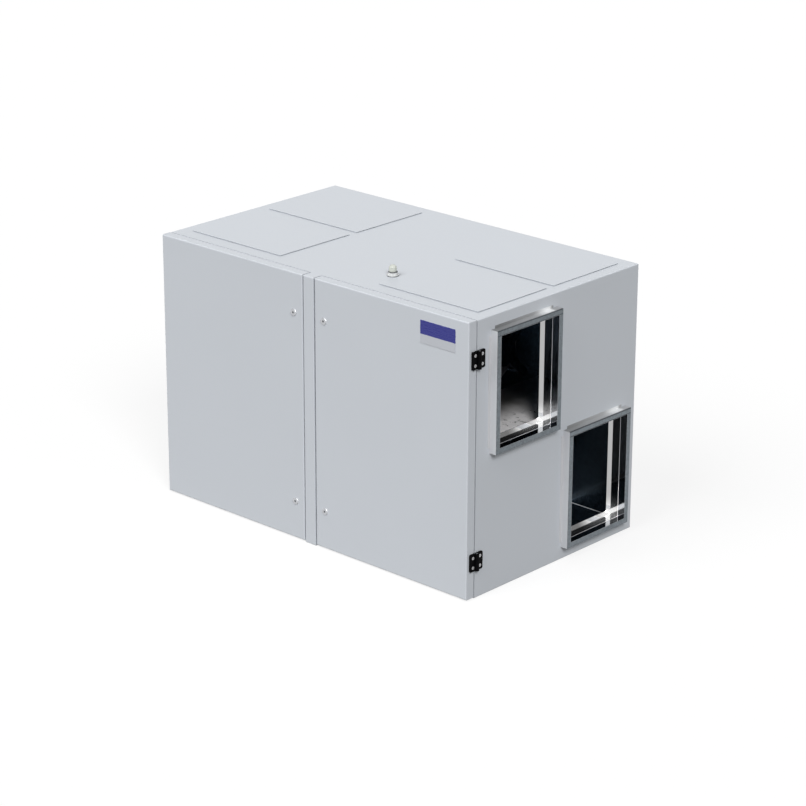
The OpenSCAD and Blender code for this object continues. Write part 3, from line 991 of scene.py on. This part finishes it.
class Beads(NodeRecipe):
    """A round bead along each loop or line of loose edges."""

    SIDES = 10

    def __init__(self) -> None:
        """Builds the tree: edges become curves, and a circle runs along them."""
        super().__init__("beads", ["Radius"])
        path = self.node("GeometryNodeMeshToCurve", inputs={0: self.input("Geometry")})
        profile = self.node(
            "GeometryNodeCurvePrimitiveCircle",
            inputs={"Resolution": self.SIDES, "Radius": self.input("Radius")},
        )
        bead = self.node(
            "GeometryNodeCurveToMesh",
            inputs={"Curve": path.outputs[0], "Profile Curve": profile.outputs[0], "Fill Caps": True},
        )
        self.close(bead.outputs[0])


@dataclass
class Workshop:
    """The recipes that several sub-assemblies share."""

    screws: ButtonScrews = field(default_factory=ButtonScrews)
    plates: PlateRow = field(default_factory=PlateRow)
    beads: Beads = field(default_factory=Beads)


def dress(finish: Finish, *nodes: str) -> None:
    """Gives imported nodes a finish.

    Args:
        finish: The finish.
        nodes: Names of the nodes.
    """
    for name in nodes:
        node = frame["nodes"][name]
        if not node.material_slots:
            node.data.materials.append(None)
        for place in node.material_slots:
            place.material = finish.material()
        LOG.info("%s: %s", name, finish.name)


def settle(piece: bpy.types.Object, body: Body) -> None:
    """Puts a finished piece on its body.

    Args:
        piece: The piece, in place.
        body: The body that it moves with.
    """
    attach(piece, body.value)
    LOG.info("%s: on %s, %d faces", piece.name, body.value, len(piece.data.polygons))


def middle_of(node: str) -> Vector:
    """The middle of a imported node's box."""
    low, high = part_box(node)
    return (low + high) / 2


# Finishes of this unit

CASING_PAINT = PowderCoat("casing_paint_satin_grey", (0.545, 0.573, 0.612))
# Painted shade: the chamber sheet is darker than zinc, so that the chambers stay dark inside.
CHAMBER_SHADE_SHEET = ZincSheet("chamber_sheet_zinc", (0.21, 0.265, 0.32), polish=0.20)
LINER_SHEET = ZincSheet("liner_sheet_zinc", (0.45, 0.46, 0.47), polish=0.34)
# The deck's light tone is the painted light near the openings.
DECK_SHEET = DeckZinc("deck_sheet_zinc", (0.90, 0.88, 0.88), polish=0.34, spread=0.05)
BEAD_ZINC = BrightZinc("joint_bead_zinc", (0.72, 0.72, 0.74), polish=0.28)
BEAD_SEAL = MouldedPlastic("chamber_bead_sealant", (0.42, 0.43, 0.44), gloss=0.55)
SEAL_FOAM = FoamRubber("seal_foam_rubber", (0.035, 0.035, 0.038))
HINGE_PLASTIC = MouldedPlastic("hinge_black_plastic", (0.0015, 0.0015, 0.002), gloss=0.62, shine=0.04)
LOCK_CHROME = SatinChrome("lock_satin_chrome", (0.52, 0.53, 0.55), polish=0.46)
SCREW_ZINC = SatinChrome("screw_zinc_plate", (0.46, 0.46, 0.47), polish=0.46)
GLAND_CREAM = MouldedPlastic("gland_cream_plastic", (0.53, 0.55, 0.505), gloss=0.66, shine=0.15)
EXCHANGER_ALUMINIUM = PlateStack("exchanger_plate_aluminium", (0.60, 0.62, 0.64))
# Painted shade: the exchanger's core is dark, standing for the shade in the gaps between its plates.
EXCHANGER_GAP_SHADE = PlateStack("exchanger_depth_aluminium", (0.14, 0.145, 0.15))
FAN_PLASTIC = MouldedPlastic("fan_black_plastic", (0.020, 0.020, 0.022), gloss=0.5, grain=1.0 * MM)


# Sub-assemblies


class SubAssembly:
    """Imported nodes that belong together, with the pieces that are added to them."""

    def dress(self) -> None:
        """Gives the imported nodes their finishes."""
        raise NotImplementedError

    def build(self) -> None:
        """Makes the added pieces, where there are any."""


@dataclass
class Casing(SubAssembly):
    """The painted panels and doors, the liners and the seals."""

    panels: Tuple[str, ...] = (
        "base_panel", "roof_panel", "back_panel", "left_end_panel", "right_end_panel", "centre_post",
        "right_door_panel", "left_door_panel",
    )
    door_liners: Tuple[str, ...] = ("right_door_liner", "left_door_liner")

    def dress(self) -> None:
        """Gives panels, liners and seals their finishes."""
        dress(CASING_PAINT, *self.panels)
        dress(CHAMBER_SHADE_SHEET, "inner_liner")
        dress(LINER_SHEET, *self.door_liners)
        dress(SEAL_FOAM, "door_seals")


@dataclass(frozen=True)
class FlangeTones:
    """The tones of one pair of flanges, painted light and shade: its face, and its top, darker towards the
    front and lighter further back.
    """

    face: Colour
    stain: Colour
    top: Colour


@dataclass
class DuctConnections(SubAssembly):
    """The flanged openings in both ends, with their linings and joint beads."""

    workshop: Workshop
    open_size: Pair = (305 * MM, 405 * MM)
    bead_radius: float = 0.9 * MM
    # Painted light: the lower pair's tones are a lighter copy of the upper pair's, for the lower flanges
    # that get less light.
    upper: FlangeTones = FlangeTones((0.160, 0.181, 0.197), (0.225, 0.230, 0.235), (0.345, 0.350, 0.360))
    lower: FlangeTones = FlangeTones((0.178, 0.201, 0.219), (0.280, 0.285, 0.290), (0.425, 0.430, 0.440))
    # Bright tone of the painted reflection in the linings' low corner towards the back.
    lining: Colour = (0.92, 0.92, 0.92)

    @property
    def half(self) -> Pair:
        """Half the width and half the height of an opening."""
        return self.open_size[0] / 2, self.open_size[1] / 2

    def middle(self, level: Level) -> Pair:
        """Y and Z of the middle of the openings at that level."""
        middle = middle_of(f"right_{level.value}_duct_flange")
        return middle.y, middle.z

    def dress(self) -> None:
        """Gives flanges and linings their finishes."""
        _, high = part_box("right_upper_duct_flange")
        for level, tones in ((Level.UPPER, self.upper), (Level.LOWER, self.lower)):
            profile = FlangeZinc(
                f"{level.value}_flange_zinc",
                tones.face,
                middle=self.middle(level),
                half=self.half,
                front=high.x,
                stain=tones.stain,
                level=tones.top,
            )
            dress(profile, *(f"{side.word}_{level.value}_duct_flange" for side in Side))
        lining = LiningZinc(
            "opening_lining_zinc",
            self.lining,
            upper=self.middle(Level.UPPER),
            lower=self.middle(Level.LOWER),
        )
        dress(lining, *(f"{side.word}_opening_trims" for side in Side))

    def build(self) -> None:
        """Runs a bright bead round each opening where flange and lining meet."""
        loose = Loose()
        low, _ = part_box("right_upper_duct_flange")
        half_y, half_z = self.half
        signs = ((-1, -1), (1, -1), (1, 1), (-1, 1))
        for side in Side:
            for level in Level:
                y, z = self.middle(level)
                corners = [(side.value * low.x, y + a * half_y, z + b * half_z) for a, b in signs]
                loose.path(corners, closed=True)
        piece = loose.object("duct_joint_beads")
        self.workshop.beads.run(piece, BEAD_ZINC, Radius=self.bead_radius)
        settle(piece, Body.CASING)


@dataclass
class Hinges(SubAssembly):
    """The two-leaf hinges on both ends, with their screws."""

    workshop: Workshop
    size: float = 65 * MM
    leaf: float = 6 * MM
    recess: float = 2 * MM
    pitch: float = 36 * MM
    head_radius: float = 5.8 * MM
    head_height: float = 2.6 * MM
    socket_radius: float = 1.7 * MM
    socket_depth: float = 2.4 * MM

    @property
    def ball_radius(self) -> float:
        """The radius of the ball that a screw's head is cut from."""
        return (self.head_radius ** 2 + self.head_height ** 2) / (2 * self.head_height)

    def dress(self) -> None:
        """Gives leaves and pins their finishes."""
        for side in Side:
            dress(HINGE_PLASTIC, f"{side.word}_casing_hinge_leaves", f"{side.word}_door_hinge_leaves")
            dress(LOCK_CHROME, f"{side.word}_hinge_pins")

    def places(self, side: Side, leaf: Leaf) -> List[Point]:
        """Where the screws of one side's leaves sit on their recesses.

        Args:
            side: The end of the unit.
            leaf: The leaf on the casing or the leaf on the door.

        Returns:
            The middle of each recess.
        """
        low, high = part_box(f"{side.word}_casing_hinge_leaves")
        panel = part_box("right_end_panel")[1].x
        joint = next(j for j in frame["joints"] if j["name"] == f"{side.word}_door_hinge")
        x = side.value * (panel + self.leaf - self.recess)
        y = joint["pos_m"][1] + leaf.value * self.pitch / 2
        levels = (low.z + self.size / 2, high.z - self.size / 2)
        return [(x, y, level + turn * self.pitch / 2) for level in levels for turn in (-1, 1)]

    def build(self) -> None:
        """Makes the screws, one mesh for each body."""
        rows = {
            Body.CASING: [(side, Leaf.CASING) for side in Side],
            Body.RIGHT_DOOR: [(Side.RIGHT, Leaf.DOOR)],
            Body.LEFT_DOOR: [(Side.LEFT, Leaf.DOOR)],
        }
        for body, leaves in rows.items():
            loose = Loose()
            for side, leaf in leaves:
                for place in self.places(side, leaf):
                    loose.spot(place, (side.value, 0.0, 0.0))
            piece = loose.object(f"{body.value}_hinge_screws")
            self.workshop.screws.run(
                piece,
                SCREW_ZINC,
                Head_Radius=self.head_radius,
                Head_Height=self.head_height,
                Ball_Radius=self.ball_radius,
                Socket_Radius=self.socket_radius,
                Socket_Depth=self.socket_depth,
            )
            settle(piece, body)


@dataclass
class Locks(SubAssembly):
    """The quarter-turn locks beside the centre post."""

    def dress(self) -> None:
        """Gives barrels and plugs their finish."""
        for side in Side:
            dress(LOCK_CHROME, f"{side.word}_lock_barrels")
            dress(LOCK_CHROME, *(f"{side.word}_{level.value}_lock_plug" for level in Level))


@dataclass
class Nameplate(SubAssembly):
    """The blank plate on the right door."""

    strip: float = 33 * MM
    tone: Colour = (0.014, 0.018, 0.205)

    def dress(self) -> None:
        """Gives the plate its coloured field and silver strip."""
        low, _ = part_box("nameplate")
        dress(TwoTonePlate("nameplate_two_tone", self.tone, split=low.z + self.strip), "nameplate")


@dataclass
class Roof(SubAssembly):
    """The cover plates on their gaskets, and the cable gland."""

    gland: Colour = (0.62, 0.63, 0.63)

    def dress(self) -> None:
        """Gives covers, gaskets and gland their finishes."""
        dress(CASING_PAINT, *(f"{side.word}_{row.value}_roof_cover" for side in Side for row in Row))
        dress(SEAL_FOAM, "roof_cover_gaskets")
        low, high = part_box("cable_gland_body")
        body = SealedPlastic("gland_grey_plastic", self.gland, foot=low.z, top=high.z)
        dress(body, "cable_gland_body")
        dress(GLAND_CREAM, "cable_gland_cap")


@dataclass
class Interior(SubAssembly):
    """What stands in the chambers: decks, exchanger, filters and fans."""

    workshop: Workshop
    plate_pitch: float = 7 * MM
    plate_t: float = 0.8 * MM
    plate_proud: float = 3.5 * MM
    flat_half: float = 147 * MM
    tip_half: float = 12.5 * MM
    filter_rim: float = 18 * MM
    fibre: Colour = (0.22, 0.23, 0.24)
    liner_t: float = 1 * MM
    bead_radius: float = 1.6 * MM
    bead_stop: float = 4 * MM

    def dress(self) -> None:
        """Gives the inner pieces their finishes."""
        dress(DECK_SHEET, "right_deck", "left_deck")
        dress(CHAMBER_SHADE_SHEET, "right_fan_wall", "left_fan_wall")
        dress(LINER_SHEET, "partition_sheets", "exchanger_cover_plates")
        dress(EXCHANGER_GAP_SHADE, "exchanger_core")
        dress(FAN_PLASTIC, "right_fan", "left_fan")
        for side in Side:
            name = f"{side.word}_filter"
            low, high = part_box(name)
            middle = middle_of(name)
            half = ((high.y - low.y) / 2 - self.filter_rim, (high.z - low.z) / 2 - self.filter_rim)
            dress(FilterFibre(f"{name}_fibre", self.fibre, middle=(middle.y, middle.z), half=half), name)

    def build(self) -> None:
        """Makes the exchanger's plates and the sealing beads."""
        self.build_plates()
        self.build_beads()

    def build_plates(self) -> None:
        """Makes the exchanger's plates, which stand a little proud of its core."""
        low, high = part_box("exchanger_core")
        middle = middle_of("exchanger_core")
        tip = high.x + self.plate_proud
        top = high.z - middle.z + self.plate_proud
        flat, corner = self.flat_half, self.tip_half
        outline = [
            (tip, corner), (flat, top), (-flat, top), (-tip, corner),
            (-tip, -corner), (-flat, -top), (flat, -top), (tip, -corner),
        ]
        loose = Loose(
            points=[(x, low.y + self.plate_pitch / 2, middle.z + z) for x, z in outline],
            faces=[list(range(len(outline)))],
        )
        piece = loose.object("exchanger_plates")
        count = int((high.y - low.y) / self.plate_pitch)
        self.workshop.plates.run(
            piece, EXCHANGER_ALUMINIUM, Pitch=self.plate_pitch, Thickness=self.plate_t, Plates=count
        )
        settle(piece, Body.CASING)

    def build_beads(self) -> None:
        """Runs a sealing bead along the floor's back edge, and along the foot of the right filter."""
        low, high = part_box("inner_liner")
        filter_low, filter_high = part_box("right_filter")
        fan_low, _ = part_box("left_fan_wall")
        back, floor = high.y - self.liner_t, low.z + self.liner_t
        end, front = high.x - self.liner_t - self.bead_stop, filter_low.y + self.bead_stop
        loose = Loose()
        loose.path([(end, back, floor), (filter_high.x, back, floor), (filter_high.x, front, floor)])
        loose.path([(-end, back, floor), (fan_low.x, back, floor)])
        piece = loose.object("chamber_sealing_beads")
        self.workshop.beads.run(piece, BEAD_SEAL, Radius=self.bead_radius)
        settle(piece, Body.CASING)


# Studio


@dataclass(frozen=True)
class Lamp:
    """A soft sun of the studio."""

    name: str
    source: Point
    strength: float
    spread: float

    def build(self) -> None:
        """Puts the lamp in the scene, shining from its source to the origin."""
        lamp = bpy.data.lights.new(self.name, "SUN")
        lamp.energy = self.strength
        lamp.angle = math.radians(self.spread)
        made = bpy.data.objects.new(self.name, lamp)
        made.rotation_euler = Vector(self.source).to_track_quat("Z", "Y").to_euler()
        bpy.context.scene.collection.objects.link(made)


@dataclass
class Studio:
    """Floor, background, light and the camera of the photograph."""

    camera_at: Point = (6.51190, -7.04706, 3.94659)
    azimuth: float = 42.59
    elevation: float = 20.17
    roll: float = 0.168
    lens: float = 123.96
    sensor: float = 36.0
    ambient: float = 0.25
    backdrop: float = 1.0
    lamps: Tuple[Lamp, ...] = (
        Lamp("studio_key", (-0.07, -0.68, 0.73), 1.96, 36.0),
        Lamp("studio_side", (0.66, -0.42, 0.62), 2.00, 20.0),
    )
    floor_tone: float = 0.92
    floor_bounce: float = 0.20
    floor_glow: float = 0.78
    floor_size: float = 60.0
    floor_drop: float = 0.5 * MM

    def seen(self, tree: Tree) -> Value:
        """A mask for the rays that show the background: camera, glossy and transmission rays.

        Args:
            tree: The tree that needs it.

        Returns:
            The mask.
        """
        path = tree.node("ShaderNodeLightPath").outputs
        mask = Value(tree, path["Is Camera Ray"])
        for word in ("Is Glossy Ray", "Is Transmission Ray"):
            mask = tree.math("MAXIMUM", mask, Value(tree, path[word]))
        return mask

    def world(self) -> None:
        """Makes the white background and the plain ambient light."""
        world = bpy.data.worlds.new("studio_white")
        bpy.context.scene.world = world
        world.use_nodes = True
        tree = Tree(world.node_tree)
        lit, shown = (
            tree.node("ShaderNodeBackground", inputs={"Color": WHITE, "Strength": strength}).outputs[0]
            for strength in (self.ambient, self.backdrop)
        )
        mixed = tree.node("ShaderNodeMixShader", inputs={0: self.seen(tree), 1: lit, 2: shown})
        tree.node("ShaderNodeOutputWorld", inputs={"Surface": mixed.outputs[0]})

    def floor(self) -> None:
        """Makes the pale floor, which keeps the unit's shadow."""
        half = self.floor_size / 2
        mesh = bpy.data.meshes.new("studio_floor")
        corners = [(-half, -half), (half, -half), (half, half), (-half, half)]
        mesh.from_pydata([(x, y, -self.floor_drop) for x, y in corners], [], [[0, 1, 2, 3]])
        floor = bpy.data.objects.new("studio_floor", mesh)
        bpy.context.scene.collection.objects.link(floor)
        material = bpy.data.materials.new("studio_floor_pale")
        material.use_nodes = True
        tree = Tree(material.node_tree)
        paint, bounce = (
            tree.node("ShaderNodeBsdfDiffuse", inputs={"Color": (tone, tone, tone, 1.0)}).outputs[0]
            for tone in (self.floor_tone, self.floor_bounce)
        )
        glow = tree.node("ShaderNodeEmission", inputs={"Strength": self.backdrop}).outputs[0]
        pale = tree.node("ShaderNodeMixShader", inputs={0: self.floor_glow, 1: paint, 2: glow})
        mixed = tree.node(
            "ShaderNodeMixShader", inputs={0: self.seen(tree), 1: bounce, 2: pale.outputs[0]}
        )
        tree.node("ShaderNodeOutputMaterial", inputs={"Surface": mixed.outputs[0]})
        mesh.materials.append(material)

    def camera(self) -> None:
        """Puts the camera where the photograph was taken from."""
        az, el, roll = (math.radians(a) for a in (self.azimuth, self.elevation, self.roll))
        back = Vector((math.sin(az) * math.cos(el), -math.cos(az) * math.cos(el), math.sin(el)))
        level = Vector((math.cos(az), math.sin(az), 0.0))
        upright = back.cross(level)
        right = math.cos(roll) * level + math.sin(roll) * upright
        up = back.cross(right)
        lens = bpy.data.cameras.new("photo_camera")
        lens.lens = self.lens
        lens.sensor_width = self.sensor
        lens.clip_end = self.floor_size
        camera = bpy.data.objects.new("photo_camera", lens)
        turn = Matrix((right, up, back)).transposed().to_4x4()
        camera.matrix_world = Matrix.Translation(Vector(self.camera_at)) @ turn
        bpy.context.scene.collection.objects.link(camera)
        bpy.context.scene.camera = camera

    def build(self) -> None:
        """Sets up the whole studio."""
        bpy.context.scene.view_settings.view_transform = "Standard"
        self.world()
        self.floor()
        for lamp in self.lamps:
            lamp.build()
        self.camera()


def main() -> None:
    """Builds the studio, then dresses each sub-assembly and makes its pieces."""
    logging.basicConfig(level=logging.INFO, format="%(name)s: %(message)s")
    Studio().build()
    workshop = Workshop()
    assemblies: List[SubAssembly] = [
        Casing(), DuctConnections(workshop), Hinges(workshop), Locks(), Nameplate(), Roof(),
        Interior(workshop),
    ]
    for assembly in assemblies:
        assembly.dress()
        assembly.build()


if __name__ == "__main__":
    main()
